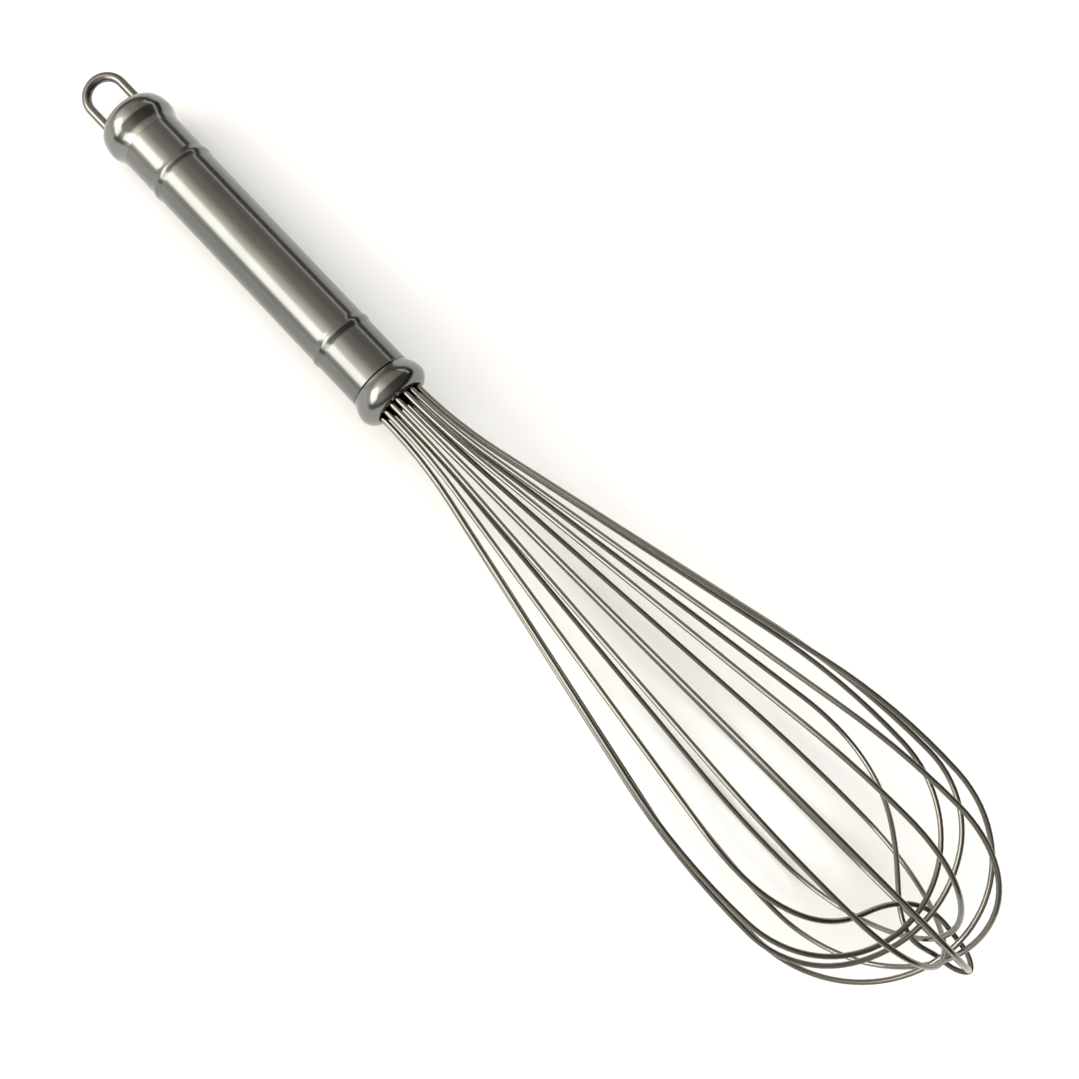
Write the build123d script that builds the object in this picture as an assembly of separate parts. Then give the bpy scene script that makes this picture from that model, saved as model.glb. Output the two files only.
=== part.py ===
from build123d import *
import os
from math import cos, pi, radians, sin, tan

# Balloon whisk. Whisk frame while modelling: X along the handle, mouth of the front collar at x = 0,
# wire head at +X, handle at -X. Azimuths turn about X, 0 at +Y and 90 at +Z. Millimetres and degrees.

# --- wire head -----------------------------------------------------------------------------------
WIRE_D = 1.5
LEG_RING_R = 6.8           # radius of the ring in which the sixteen wire legs stand
LEG_INSIDE = 40.0          # length of each leg inside the handle
HEAD_LEAN = 1.43           # the head leans this much to +Y
LEAN_BEND_R = 40.0
HEAD_START = 0.6           # the bent part of every strand starts this far out of the mouth
FLARE_R = 140.0            # the strands first bend outwards on this radius ...
FLARE_TURN = 12.4          # ... by this angle, then run on as a cone
# One loop of wire per row, bent by hand so no two are alike: azimuth, length of the cone run,
# radius of the long shoulder bend, slope at its end, radius of the cap bend, slope towards the tip
LOOPS = (
    (-1.5, 89.2, 230.0, 0.8, 29.4, 32.4),
    (14.0, 104.6, 160.0, 3.6, 35.7, 18.6),
    (44.6, 113.5, 163.0, 0.5, 33.7, 30.3),
    (64.4, 109.1, 146.0, 0.5, 36.3, 22.1),
    (89.3, 101.8, 173.0, 5.6, 34.3, 20.0),
    (107.0, 102.6, 167.0, 4.0, 32.3, 21.6),
    (130.9, 112.0, 57.0, 0.5),
    (162.9, 89.6, 186.0, 2.4, 33.7, 17.4),
)

# The seventh loop is crossed near its tip, so its row stops at the shoulders. Between them it runs
# through these points, over itself and out round the tip of the longest loop
CROSSED_LOOP = 7
CROSSED_TIP = (
    (164.6, -17.9, 25.4),
    (174.7, -14.1, 21.3),
    (182.0, -8.6, 15.3),
    (188.0, -0.6, 6.3),
    (194.0, 5.4, -0.8),
    (199.0, 8.5, -3.6),
    (204.5, 9.7, -4.4),
    (211.5, 9.2, -4.9),
    (217.9, 7.8, -5.5),
    (220.2, 5.7, -6.0),
    (217.9, 3.5, -6.3),
    (211.5, 2.1, -6.2),
    (204.0, 0.4, -4.3),
    (197.8, 2.2, -4.4),
    (191.6, 7.6, -7.4),
    (184.5, 15.0, -12.9),
    (173.8, 22.8, -21.3),
    (163.5, 26.1, -25.4),
)

# --- handle --------------------------------------------------------------------------------------
TUBE_R = 9.75
TUBE_WALL = 0.8
SEAM_FRONT = -7.8          # handle tube meets the front collar here
SEAM_REAR = -104.3         # handle tube meets the rear cap here
SEAM_CHAMFER = 0.22        # both sides of the front seam are broken by this much
RIB_XS = (-91.6, -24.0)    # pressed ribs, one towards each end of the tube
RIB_H = 0.35
RIB_HALF = 2.0
COLLAR_RISE = (-5.8, 10.5)  # the collar swells from the tube through this (x, radius) ...
COLLAR_CREST_X = -2.9
COLLAR_CREST_R = 11.25
COLLAR_FALL = (-0.3, 10.1)  # ... and closes in on the wires through this one
COLLAR_LIP_X = 0.6
COLLAR_LIP_R = 8.1
COLLAR_BORE_R = 7.65
CAP_RISE = (-107.1, 10.25)  # the rear cap swells from the tube through this (x, radius)
CAP_CREST_X = -109.9
CAP_CREST_R = 11.2
CAP_END_X = -116.1
CAP_FLAT_R = 5.0
CAP_WALL = 1.0
SPIGOT_R = 8.9
SPIGOT_WALL = 0.5
FRONT_SPIGOT_END = -20.0
REAR_SPIGOT_END = -99.5

# --- hanging loop --------------------------------------------------------------------------------
HANGER_D = 2.8
HANGER_HALF = 5.95         # half the distance between its two legs
HANGER_OFFSET = -0.6       # the loop sits this far off the handle's axis
HANGER_BOW_X = -124.55     # centre of the round end
HANGER_LEG_END = -84.3

# --- pieces shut inside the handle ---------------------------------------------------------------
GAP = 0.05                 # clearance between neighbouring pieces
CORE_FRONT = -8.6
CORE_REAR = -41.5
BAND_W = 4.0
BAND_T = 0.5
BAND_XS = (-14.0, -35.0)
SEAL_FRONT = -5.5
SEAL_T = 3.0
POTTING_FRONT = -22.0
POTTING_T = 12.0
FILLER_FRONT = -43.0
FILLER_REAR = -83.0
PLUG_FRONT = -91.0
PLUG_REAR = -103.5
PLATE_T = 1.5
CRIMP_R = 2.3
CRIMP_L = 5.0

# --- attitude at rest ----------------------------------------------------------------------------
REST_ROLL = 10.81          # turned about its axis until two strands share the weight
REST_PITCH = -5.14         # the balloon is fatter than the rear cap, so the axis climbs to the head

WIRE_R = WIRE_D / 2
TUBE_BORE = TUBE_R - TUBE_WALL
SPIGOT_BORE = SPIGOT_R - SPIGOT_WALL


def turned(*edges):
    """Solid of revolution about X from a closed outline of (x, radius) edges."""
    return revolve(make_face(Wire(list(edges))), axis=Axis.X)


def ring(front, length, inner, outer):
    """Plain ring or disc about X whose front face is at x = front."""
    blank = Plane((front, 0, 0), z_dir=(-1, 0, 0)) * Circle(outer)
    if inner > 0:
        blank -= Plane((front, 0, 0), z_dir=(-1, 0, 0)) * Circle(inner)
    return extrude(blank, length)


def tube_outline(radius, end):
    """Edges of the handle tube's outline at one radius, from the rear seam forward to x = end."""
    edges = []
    at = SEAM_REAR
    for x in RIB_XS:
        foot_a = (x - RIB_HALF, radius)
        foot_b = (x + RIB_HALF, radius)
        edges.append(Line((at, radius), foot_a))
        edges.append(Spline(foot_a, (x, radius + RIB_H), foot_b, tangents=[(1, 0), (1, 0)]))
        at = x + RIB_HALF
    edges.append(Line((at, radius), (end, radius)))
    return edges


def leg_points(azimuth):
    """Inner end of a wire leg and the point at the mouth where it bends into the leaning head."""
    y = LEG_RING_R * cos(radians(azimuth))
    z = LEG_RING_R * sin(radians(azimuth))
    advance = y * tan(radians(HEAD_LEAN / 2))
    corner = Vector(advance * cos(radians(HEAD_LEAN)), y, z)
    corner.X -= y * sin(radians(HEAD_LEAN))
    return Vector(-LEG_INSIDE, y, z), corner


def shoulder(azimuth, run, shoulder_r, close_turn):
    """Half a loop from its leg to the end of its shoulder bend, where that is, and the head's axes."""
    lean = radians(HEAD_LEAN)
    along = Vector(cos(lean), sin(lean), 0)
    out = Vector(-sin(lean), cos(lean), 0) * cos(radians(azimuth)) + Vector(0, 0, sin(radians(azimuth)))
    foot, corner = leg_points(azimuth)
    setback = LEAN_BEND_R * tan(lean / 2)
    before = corner - Vector(setback, 0, 0)
    after = corner + along * setback
    place = along * HEAD_START + out * LEG_RING_R
    edges = [Line(foot, before), TangentArc(before, after, tangent=(1, 0, 0)), Line(after, place)]
    place = bend(edges, place, (along, out), 0.0, FLARE_R, FLARE_TURN)
    heading = radians(FLARE_TURN)
    end = place + along * run * cos(heading) + out * run * sin(heading)
    edges.append(Line(place, end))
    end = bend(edges, end, (along, out), FLARE_TURN, shoulder_r, -(FLARE_TURN + close_turn))
    return edges, end, (along, out)


def bend(edges, place, axes, heading, radius, turn):
    """Append an arc that starts at place on the given heading; returns where it ends."""
    along, out = axes
    side = 1 if turn > 0 else -1
    first = radians(heading)
    last = radians(heading + turn)
    advance = side * radius * (sin(last) - sin(first))
    spread = side * radius * (cos(first) - cos(last))
    end = place + along * advance + out * spread
    edges.append(TangentArc(place, end, tangent=along * cos(first) + out * sin(first)))
    return end


def plain_strand(azimuth, run, shoulder_r, close_turn, cap_r, tip_turn):
    """Half a loop, from its leg inside the handle to the tip on the head's axis."""
    edges, place, axes = shoulder(azimuth, run, shoulder_r, close_turn)
    place = bend(edges, place, axes, -close_turn, cap_r, -(90 - tip_turn - close_turn))
    tip_r = place.dot(axes[1]) / sin(radians(tip_turn))
    bend(edges, place, axes, tip_turn - 90, tip_r, -tip_turn)
    return edges


def wire_loop(azimuth, *bends):
    """One closed bow of round wire with both of its legs."""
    return swept_wire(azimuth, plain_strand(azimuth, *bends) + plain_strand(azimuth + 180, *bends))


def crossed_loop(azimuth, run, shoulder_r, close_turn):
    """The loop whose two halves cross near the tip."""
    near, near_end, near_axes = shoulder(azimuth, run, shoulder_r, close_turn)
    far, far_end, far_axes = shoulder(azimuth + 180, run, shoulder_r, close_turn)
    slope = radians(close_turn)
    start = near_axes[0] * cos(slope) - near_axes[1] * sin(slope)
    stop = far_axes[1] * sin(slope) - far_axes[0] * cos(slope)
    tip = Spline(near_end, *CROSSED_TIP, far_end, tangents=[start, stop], tangent_scalars=(1, 1))
    return swept_wire(azimuth, near + [tip] + far)


def swept_wire(azimuth, edges):
    """Round wire along the given edges, which start with the leg at this azimuth."""
    foot, _ = leg_points(azimuth)
    return sweep(Plane(foot, z_dir=(1, 0, 0)) * Circle(WIRE_R), path=Wire(edges))


def leg_holes(front, length):
    """Round holes for the sixteen legs in a piece that surrounds them."""
    holes = []
    for loop in LOOPS:
        for side in (0, 180):
            foot, _ = leg_points(loop[0] + side)
            spot = Plane((front, foot.Y, foot.Z), z_dir=(-1, 0, 0))
            holes.append(extrude(spot * Circle(WIRE_R + GAP), length))
    return holes


def hanger_holes(front, length):
    """Round holes for the two legs of the hanging loop."""
    holes = []
    for side in (-1, 1):
        spot = Plane((front, HANGER_OFFSET + side * HANGER_HALF, 0), z_dir=(-1, 0, 0))
        holes.append(extrude(spot * Circle(HANGER_D / 2 + GAP), length))
    return holes


nodes = {}

for number, loop in enumerate(LOOPS, start=1):
    if number == CROSSED_LOOP:
        nodes[f"wire_{number}"] = crossed_loop(*loop)
    else:
        nodes[f"wire_{number}"] = wire_loop(*loop)

# handle tube: thin sheet with a rib pressed out towards each end
nodes["handle_tube"] = turned(
    *tube_outline(TUBE_R, SEAM_FRONT - SEAM_CHAMFER),
    Line((SEAM_FRONT - SEAM_CHAMFER, TUBE_R), (SEAM_FRONT, TUBE_R - SEAM_CHAMFER)),
    Line((SEAM_FRONT, TUBE_R - SEAM_CHAMFER), (SEAM_FRONT, TUBE_BORE)),
    *tube_outline(TUBE_BORE, SEAM_FRONT),
    Line((SEAM_REAR, TUBE_BORE), (SEAM_REAR, TUBE_R)),
)

# front collar: bead round the mouth with a spigot that plugs into the tube
collar_seam = SEAM_FRONT + GAP
collar_foot = (collar_seam + SEAM_CHAMFER, TUBE_R)
collar_crest = (COLLAR_CREST_X, COLLAR_CREST_R)
collar_lip = (COLLAR_LIP_X, COLLAR_LIP_R)
bore_edge = (COLLAR_LIP_X - (COLLAR_LIP_R - COLLAR_BORE_R), COLLAR_BORE_R)
nodes["front_collar"] = turned(
    Line((collar_seam, SPIGOT_R), (collar_seam, TUBE_R - SEAM_CHAMFER)),
    Line((collar_seam, TUBE_R - SEAM_CHAMFER), collar_foot),
    Spline(collar_foot, COLLAR_RISE, collar_crest, tangents=[(1, 0.3), (1, 0)]),
    Spline(collar_crest, COLLAR_FALL, collar_lip, tangents=[(1, 0), (0, -1)]),
    Line(collar_lip, bore_edge),
    Line(bore_edge, (SEAL_FRONT + GAP, COLLAR_BORE_R)),
    Line((SEAL_FRONT + GAP, COLLAR_BORE_R), (SEAL_FRONT + GAP, SPIGOT_BORE)),
    Line((SEAL_FRONT + GAP, SPIGOT_BORE), (FRONT_SPIGOT_END, SPIGOT_BORE)),
    Line((FRONT_SPIGOT_END, SPIGOT_BORE), (FRONT_SPIGOT_END, SPIGOT_R)),
    Line((FRONT_SPIGOT_END, SPIGOT_R), (collar_seam, SPIGOT_R)),
)

# rear cap: domed shell that swells from the tube to a bead and closes it
cap_seam = SEAM_REAR - GAP
shell_end = CAP_END_X + CAP_WALL
shell_r = CAP_CREST_R - CAP_WALL
cap = turned(
    Line((REAR_SPIGOT_END, SPIGOT_BORE), (REAR_SPIGOT_END, SPIGOT_R)),
    Line((REAR_SPIGOT_END, SPIGOT_R), (cap_seam, SPIGOT_R)),
    Line((cap_seam, SPIGOT_R), (cap_seam, TUBE_R)),
    Spline((cap_seam, TUBE_R), CAP_RISE, (CAP_CREST_X, CAP_CREST_R), tangents=[(-1, 0.1), (-1, 0)]),
    Spline((CAP_CREST_X, CAP_CREST_R), (CAP_END_X, CAP_FLAT_R), tangents=[(-1, 0), (0, -1)]),
    Line((CAP_END_X, CAP_FLAT_R), (CAP_END_X, 0)),
    Line((CAP_END_X, 0), (shell_end, 0)),
    Line((shell_end, 0), (shell_end, CAP_FLAT_R)),
    Spline((shell_end, CAP_FLAT_R), (CAP_CREST_X, shell_r), tangents=[(0, 1), (1, 0)]),
    Spline((CAP_CREST_X, shell_r), (cap_seam - CAP_WALL, SPIGOT_BORE), tangents=[(1, 0), (1, -1)]),
    Line((cap_seam - CAP_WALL, SPIGOT_BORE), (REAR_SPIGOT_END, SPIGOT_BORE)),
)
nodes["rear_cap"] = cap - hanger_holes(CAP_CREST_X, 2 * (CAP_CREST_X - CAP_END_X))

# hanging loop: bow of heavier wire whose legs go through the cap into the rear plug
upper = HANGER_OFFSET + HANGER_HALF
lower = HANGER_OFFSET - HANGER_HALF
bow_end = HANGER_BOW_X - HANGER_HALF
hanger_path = Wire([
    Line((HANGER_LEG_END, upper), (HANGER_BOW_X, upper)),
    ThreePointArc((HANGER_BOW_X, upper), (bow_end, HANGER_OFFSET), (HANGER_BOW_X, lower)),
    Line((HANGER_BOW_X, lower), (HANGER_LEG_END, lower)),
])
hanger_start = Plane((HANGER_LEG_END, upper, 0), z_dir=(-1, 0, 0))
nodes["hanger_loop"] = sweep(hanger_start * Circle(HANGER_D / 2), path=hanger_path)

# wire legs stand round a core and are strapped, sealed and potted
nodes["wire_core"] = ring(CORE_FRONT, CORE_FRONT - CORE_REAR, 0, LEG_RING_R - WIRE_R - GAP)
band_bore = LEG_RING_R + WIRE_R + GAP
for name, front in zip(("band_front", "band_rear"), BAND_XS):
    nodes[name] = ring(front, BAND_W, band_bore, band_bore + BAND_T)
mouth_seal = ring(SEAL_FRONT, SEAL_T, LEG_RING_R - WIRE_D, SPIGOT_BORE - GAP)
nodes["mouth_seal"] = mouth_seal - leg_holes(SEAL_FRONT, SEAL_T)
potting = ring(POTTING_FRONT, POTTING_T, LEG_RING_R - WIRE_R, TUBE_BORE - GAP)
nodes["leg_potting"] = potting - leg_holes(POTTING_FRONT, POTTING_T)
nodes["handle_filler"] = ring(FILLER_FRONT, FILLER_FRONT - FILLER_REAR, 0, TUBE_BORE - GAP)

# the hanging loop's legs pass a plug and a lock plate and end in crimp sleeves
plug = ring(PLUG_FRONT, PLUG_FRONT - PLUG_REAR, 0, SPIGOT_BORE - GAP)
nodes["rear_plug"] = plug - hanger_holes(PLUG_FRONT, PLUG_FRONT - PLUG_REAR)
plate_front = PLUG_FRONT + GAP + PLATE_T
plate = ring(plate_front, PLATE_T, 0, SPIGOT_BORE - GAP)
nodes["hanger_lock_plate"] = plate - hanger_holes(plate_front, PLATE_T)
crimp_front = plate_front + GAP + CRIMP_L
for name, y in (("hanger_crimp_1", upper), ("hanger_crimp_2", lower)):
    sleeve = Circle(CRIMP_R) - Circle(HANGER_D / 2 + GAP)
    nodes[name] = extrude(Plane((crimp_front, y, 0), z_dir=(-1, 0, 0)) * sleeve, CRIMP_L)

# lay the whisk down: roll, pitch, then the origin goes under the middle of its bounding box
laid = {}
for name, shape in nodes.items():
    laid[name] = shape.rotate(Axis.X, REST_ROLL).rotate(Axis.Y, REST_PITCH)
boxes = [shape.bounding_box() for shape in laid.values()]
middle_x = (min(box.min.X for box in boxes) + max(box.max.X for box in boxes)) / 2
middle_y = (min(box.min.Y for box in boxes) + max(box.max.Y for box in boxes)) / 2
shift = Vector(-middle_x, -middle_y, -min(box.min.Z for box in boxes))

os.makedirs("parts", exist_ok=True)
for name, shape in laid.items():
    export_step(shape.translate(shift), f"parts/{name}.step")
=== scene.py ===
import math

import bpy
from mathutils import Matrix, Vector

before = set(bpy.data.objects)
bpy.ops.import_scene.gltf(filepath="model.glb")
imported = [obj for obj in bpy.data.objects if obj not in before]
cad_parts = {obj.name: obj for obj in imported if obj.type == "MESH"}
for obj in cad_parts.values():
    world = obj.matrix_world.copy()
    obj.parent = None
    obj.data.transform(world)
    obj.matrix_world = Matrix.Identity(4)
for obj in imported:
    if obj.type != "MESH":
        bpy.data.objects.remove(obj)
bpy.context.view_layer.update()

SCENE = bpy.context.scene

# The whisk lies rolled and pitched in the row's frame. These turn a point into the whisk's own
# directions: X along the handle, Y and Z across it.
REST_ROLL = math.radians(10.81)
REST_PITCH = math.radians(-5.14)

# How the noise that draws fine polishing lines is stretched, in the whisk's own directions
EVEN = (1.0, 1.0, 1.0)
ROUND_THE_HANDLE = (1.0, 0.12, 0.12)
ROUND_THE_STRAP = (1.0, 0.2, 0.2)
ALONG_THE_WIRE = (0.15, 1.0, 1.0)
ALONG_THE_SLEEVE = (0.2, 1.0, 1.0)

# Depth of the relief in metres, and scale of the noise, that every metal shares
LINE_DEPTH = 0.00004
PIT_DEPTH = 0.00003
PIT_SCALE = 900.0
HAZE_SCALE = 38.0

GRAIN_DEPTH = 0.0002  # of the fillings and the floor

FLOOR_SIZE = 6.0

CAMERA_PLACE = (0.01148, -0.06802, 0.37219)
CAMERA_TURN_DEG = (7.4202, -7.8230, 46.9104)
LENS_MM = 42.39
SENSOR_MM = 36.0

LIT_POINT = Vector((-0.02, 0.0, 0.03))  # every light faces this point

ROOM_COLOR = (0.89, 0.83, 0.74, 1.0)
BACKDROP_COLOR = (0.80, 0.80, 0.79, 1.0)


# ---------------------------------------------------------------------------- materials


class Graph:
    """Small helper that lays out a node material."""

    def __init__(self, name):
        self.material = bpy.data.materials.new(name)
        self.material.use_nodes = True
        self.nodes = self.material.node_tree.nodes
        self.links = self.material.node_tree.links
        self.shader = self.nodes["Principled BSDF"]

    def join(self, source, target):
        self.links.new(source, target)

    def whisk_coordinates(self, scale):
        """Object coordinates turned along the handle, then stretched by scale."""
        where = self.nodes.new("ShaderNodeTexCoord")
        turn = self.nodes.new("ShaderNodeMapping")
        turn.vector_type = "TEXTURE"
        turn.inputs["Rotation"].default_value = (REST_ROLL, REST_PITCH, 0.0)
        stretch = self.nodes.new("ShaderNodeMapping")
        stretch.inputs["Scale"].default_value = scale
        self.join(where.outputs["Object"], turn.inputs["Vector"])
        self.join(turn.outputs["Vector"], stretch.inputs["Vector"])
        return stretch.outputs["Vector"]

    def noise(self, vector, scale, detail, roughness):
        node = self.nodes.new("ShaderNodeTexNoise")
        node.inputs["Scale"].default_value = scale
        node.inputs["Detail"].default_value = detail
        node.inputs["Roughness"].default_value = roughness
        self.join(vector, node.inputs["Vector"])
        return node.outputs["Fac"]

    def ramp(self, fac, dark, light):
        """A colour from dark to light over the middle of the noise's range."""
        node = self.nodes.new("ShaderNodeValToRGB")
        for element, position, color in zip(node.color_ramp.elements, (0.3, 0.7), (dark, light)):
            element.position = position
            element.color = (*color, 1.0)
        self.join(fac, node.inputs["Fac"])
        return node.outputs["Color"]

    def span(self, fac, low, high):
        """A value from low to high over the middle half of the noise's range."""
        node = self.nodes.new("ShaderNodeMapRange")
        node.inputs["From Min"].default_value = 0.25
        node.inputs["From Max"].default_value = 0.75
        node.inputs["To Min"].default_value = low
        node.inputs["To Max"].default_value = high
        self.join(fac, node.inputs["Value"])
        return node.outputs["Result"]

    def bump(self, height, strength, distance, below=None):
        node = self.nodes.new("ShaderNodeBump")
        node.inputs["Strength"].default_value = strength
        node.inputs["Distance"].default_value = distance
        self.join(height, node.inputs["Height"])
        if below is not None:
            self.join(below, node.inputs["Normal"])
        return node.outputs["Normal"]


def metal(name, dark, light, rough, stretch, line_scale, line_bump, pit_bump):
    """Polished metal: fine lines, faint handling haze and small pits."""
    g = Graph(name)
    even_at = g.whisk_coordinates(EVEN)
    lines = g.noise(g.whisk_coordinates(stretch), line_scale, 4.0, 0.6)
    haze = g.noise(even_at, HAZE_SCALE, 3.0, 0.55)
    pits = g.noise(even_at, PIT_SCALE, 2.0, 0.5)
    g.join(g.ramp(haze, dark, light), g.shader.inputs["Base Color"])
    tone = g.nodes.new("ShaderNodeMath")  # half the haze, plus the lines
    tone.operation = "MULTIPLY_ADD"
    tone.inputs[1].default_value = 0.5
    g.join(haze, tone.inputs[0])
    g.join(lines, tone.inputs[2])
    g.join(g.span(tone.outputs["Value"], *rough), g.shader.inputs["Roughness"])
    line_relief = g.bump(lines, line_bump, LINE_DEPTH)
    g.join(g.bump(pits, pit_bump, PIT_DEPTH, line_relief), g.shader.inputs["Normal"])
    g.shader.inputs["Metallic"].default_value = 1.0
    return g.material


def dull(name, dark, light, rough, grain, strength):
    """Cast or moulded filling with a fine grain."""
    g = Graph(name)
    at = g.whisk_coordinates(EVEN)
    speck = g.noise(at, grain, 5.0, 0.6)
    cloud = g.noise(at, grain * 0.12, 2.0, 0.5)
    g.join(g.ramp(cloud, dark, light), g.shader.inputs["Base Color"])
    g.join(g.span(speck, rough - 0.08, rough + 0.08), g.shader.inputs["Roughness"])
    g.join(g.bump(speck, strength, GRAIN_DEPTH), g.shader.inputs["Normal"])
    g.shader.inputs["Specular IOR Level"].default_value = 0.35
    return g.material


HANDLE = metal(
    "handle_steel", (0.138, 0.140, 0.134), (0.174, 0.176, 0.169), (0.10, 0.19),
    ROUND_THE_HANDLE, 2600.0, 0.10, 0.05,
)
COLLAR = metal(
    "collar_steel", (0.175, 0.177, 0.169), (0.222, 0.224, 0.215), (0.09, 0.17),
    ROUND_THE_HANDLE, 2200.0, 0.08, 0.05,
)
WIRE = metal(
    "wire_steel", (0.188, 0.180, 0.162), (0.258, 0.248, 0.224), (0.08, 0.18),
    ALONG_THE_WIRE, 1800.0, 0.10, 0.08,
)
HANGER = metal(
    "hanger_steel", (0.16, 0.156, 0.146), (0.21, 0.205, 0.193), (0.08, 0.16),
    ALONG_THE_WIRE, 1800.0, 0.10, 0.08,
)
STRAP = metal(
    "strap_steel", (0.30, 0.29, 0.28), (0.40, 0.39, 0.37), (0.30, 0.45),
    ROUND_THE_STRAP, 900.0, 0.2, 0.1,
)
ALUMINIUM = metal(
    "crimp_aluminium", (0.60, 0.60, 0.60), (0.70, 0.70, 0.70), (0.28, 0.40),
    ALONG_THE_SLEEVE, 900.0, 0.2, 0.1,
)
# Painted shade: the sealing resin and the core plastic are near black so that the handle's mouth,
# where they sit, reads as deep shade. This is partly their own dark colour. The leg potting and
# the rear plug share these colours.
RESIN_AND_PAINTED_SHADE = dull("sealing_resin_and_painted_shade", (0.012, 0.011, 0.010), (0.030, 0.027, 0.024), 0.55, 700.0, 0.25)
CORE_AND_PAINTED_SHADE = dull("core_plastic_and_painted_shade", (0.020, 0.020, 0.021), (0.040, 0.040, 0.042), 0.5, 500.0, 0.2)
FOAM = dull("filler_foam", (0.50, 0.46, 0.36), (0.62, 0.57, 0.45), 0.85, 1500.0, 0.6)

# Every node not named here is one of the whisk's wires
FINISH = {
    "handle_tube": HANDLE,
    "front_collar": COLLAR,
    "rear_cap": COLLAR,
    "hanger_loop": HANGER,
    "band_front": STRAP,
    "band_rear": STRAP,
    "hanger_lock_plate": STRAP,
    "hanger_crimp_1": ALUMINIUM,
    "hanger_crimp_2": ALUMINIUM,
    "mouth_seal": RESIN_AND_PAINTED_SHADE,
    "leg_potting": RESIN_AND_PAINTED_SHADE,
    "wire_core": CORE_AND_PAINTED_SHADE,
    "rear_plug": CORE_AND_PAINTED_SHADE,
    "handle_filler": FOAM,
}

for name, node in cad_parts.items():
    material = FINISH.get(name, WIRE)
    if not node.material_slots:
        node.data.materials.append(material)
    for place in node.material_slots:
        place.material = material


# ---------------------------------------------------------------------------- floor


def floor_material():
    g = Graph("pale_floor")
    at = g.nodes.new("ShaderNodeTexCoord").outputs["Object"]
    mottle = g.noise(at, 6.0, 2.0, 0.5)
    grain = g.noise(at, 900.0, 3.0, 0.6)
    g.join(g.ramp(mottle, (0.86, 0.86, 0.86), (0.89, 0.89, 0.89)), g.shader.inputs["Base Color"])
    g.join(g.bump(grain, 0.05, GRAIN_DEPTH), g.shader.inputs["Normal"])
    g.shader.inputs["Roughness"].default_value = 0.8
    g.shader.inputs["Specular IOR Level"].default_value = 0.2
    return g.material


def add_floor():
    half = FLOOR_SIZE / 2
    mesh = bpy.data.meshes.new("floor")
    corners = [(-half, -half, 0), (half, -half, 0), (half, half, 0), (-half, half, 0)]
    mesh.from_pydata(corners, [], [(0, 1, 2, 3)])
    floor = bpy.data.objects.new("floor", mesh)
    SCENE.collection.objects.link(floor)
    floor.data.materials.append(floor_material())


add_floor()


# ---------------------------------------------------------------------------- camera

camera_data = bpy.data.cameras.new("camera")
camera_data.sensor_width = SENSOR_MM
camera_data.lens = LENS_MM
camera_data.clip_start = 0.01
camera = bpy.data.objects.new("camera", camera_data)
camera.location = CAMERA_PLACE
camera.rotation_euler = [math.radians(angle) for angle in CAMERA_TURN_DEG]
SCENE.collection.objects.link(camera)
SCENE.camera = camera


# ---------------------------------------------------------------------------- lights


def softbox(name, direction, distance, width, height, power, color):
    """A large soft light that faces the whisk from the given direction."""
    data = bpy.data.lights.new(name, "AREA")
    data.shape = "RECTANGLE"
    data.size = width
    data.size_y = height
    data.energy = power
    data.color = color
    light = bpy.data.objects.new(name, data)
    toward = Vector(direction).normalized()
    light.location = LIT_POINT + toward * distance
    light.rotation_euler = toward.to_track_quat("Z", "X").to_euler()
    SCENE.collection.objects.link(light)
    return light


softbox("key", (-0.42, -0.76, 0.51), 0.95, 0.47, 1.0, 4.9, (0.965, 1.0, 0.985))
softbox("edge strip", (-0.30, 0.93, 0.36), 1.4, 0.09, 1.4, 0.95, (1.0, 0.97, 0.92))
# lights the floor evenly without laying a reflection of its own over the steel
overhead = softbox("overhead", (0.0, 0.15, 1.0), 1.2, 1.5, 1.5, 11.0, (0.96, 0.98, 1.0))
overhead.visible_glossy = False


def studio_world():
    """Warm grey room, bright beyond the handle and on the key's side.

    It is dim overhead, beyond the wire head and near the horizon. The steel and the floor see the
    room. The camera sees a plain pale backdrop in its place.
    """
    world = bpy.data.worlds.new("studio")
    world.use_nodes = True
    nodes = world.node_tree.nodes
    links = world.node_tree.links
    direction = nodes.new("ShaderNodeSeparateXYZ")
    links.new(nodes.new("ShaderNodeTexCoord").outputs["Generated"], direction.inputs[0])

    def fade(axis, start, end, low, high):
        """A smooth step from low to high as the direction's axis goes from start to end."""
        node = nodes.new("ShaderNodeMapRange")
        node.interpolation_type = "SMOOTHSTEP"
        node.inputs["From Min"].default_value = start
        node.inputs["From Max"].default_value = end
        node.inputs["To Min"].default_value = low
        node.inputs["To Max"].default_value = high
        links.new(direction.outputs[axis], node.inputs["Value"])
        return node.outputs["Result"]

    def combine(operation, first, second):
        node = nodes.new("ShaderNodeMath")
        node.operation = operation
        links.new(first, node.inputs[0])
        links.new(second, node.inputs[1])
        return node.outputs["Value"]

    beyond_handle = fade("X", -0.10, -0.34, 0.25, 1.0)
    far_side = fade("Y", 0.20, 0.60, 0.95, 0.62)
    key_glow = fade("Y", 0.16, -0.64, 0.0, 2.9)
    above_horizon = fade("Z", 0.24, 0.44, 0.35, 1.0)
    across = combine("MULTIPLY", combine("ADD", far_side, key_glow), above_horizon)

    room = nodes["Background"]
    room.inputs["Color"].default_value = ROOM_COLOR
    links.new(combine("MULTIPLY", beyond_handle, across), room.inputs["Strength"])
    backdrop = nodes.new("ShaderNodeBackground")
    backdrop.inputs["Color"].default_value = BACKDROP_COLOR
    shown = nodes.new("ShaderNodeMixShader")
    links.new(nodes.new("ShaderNodeLightPath").outputs["Is Camera Ray"], shown.inputs[0])
    links.new(room.outputs[0], shown.inputs[1])
    links.new(backdrop.outputs[0], shown.inputs[2])
    links.new(shown.outputs[0], nodes["World Output"].inputs["Surface"])
    return world


SCENE.world = studio_world()
SCENE.view_settings.view_transform = "Standard"
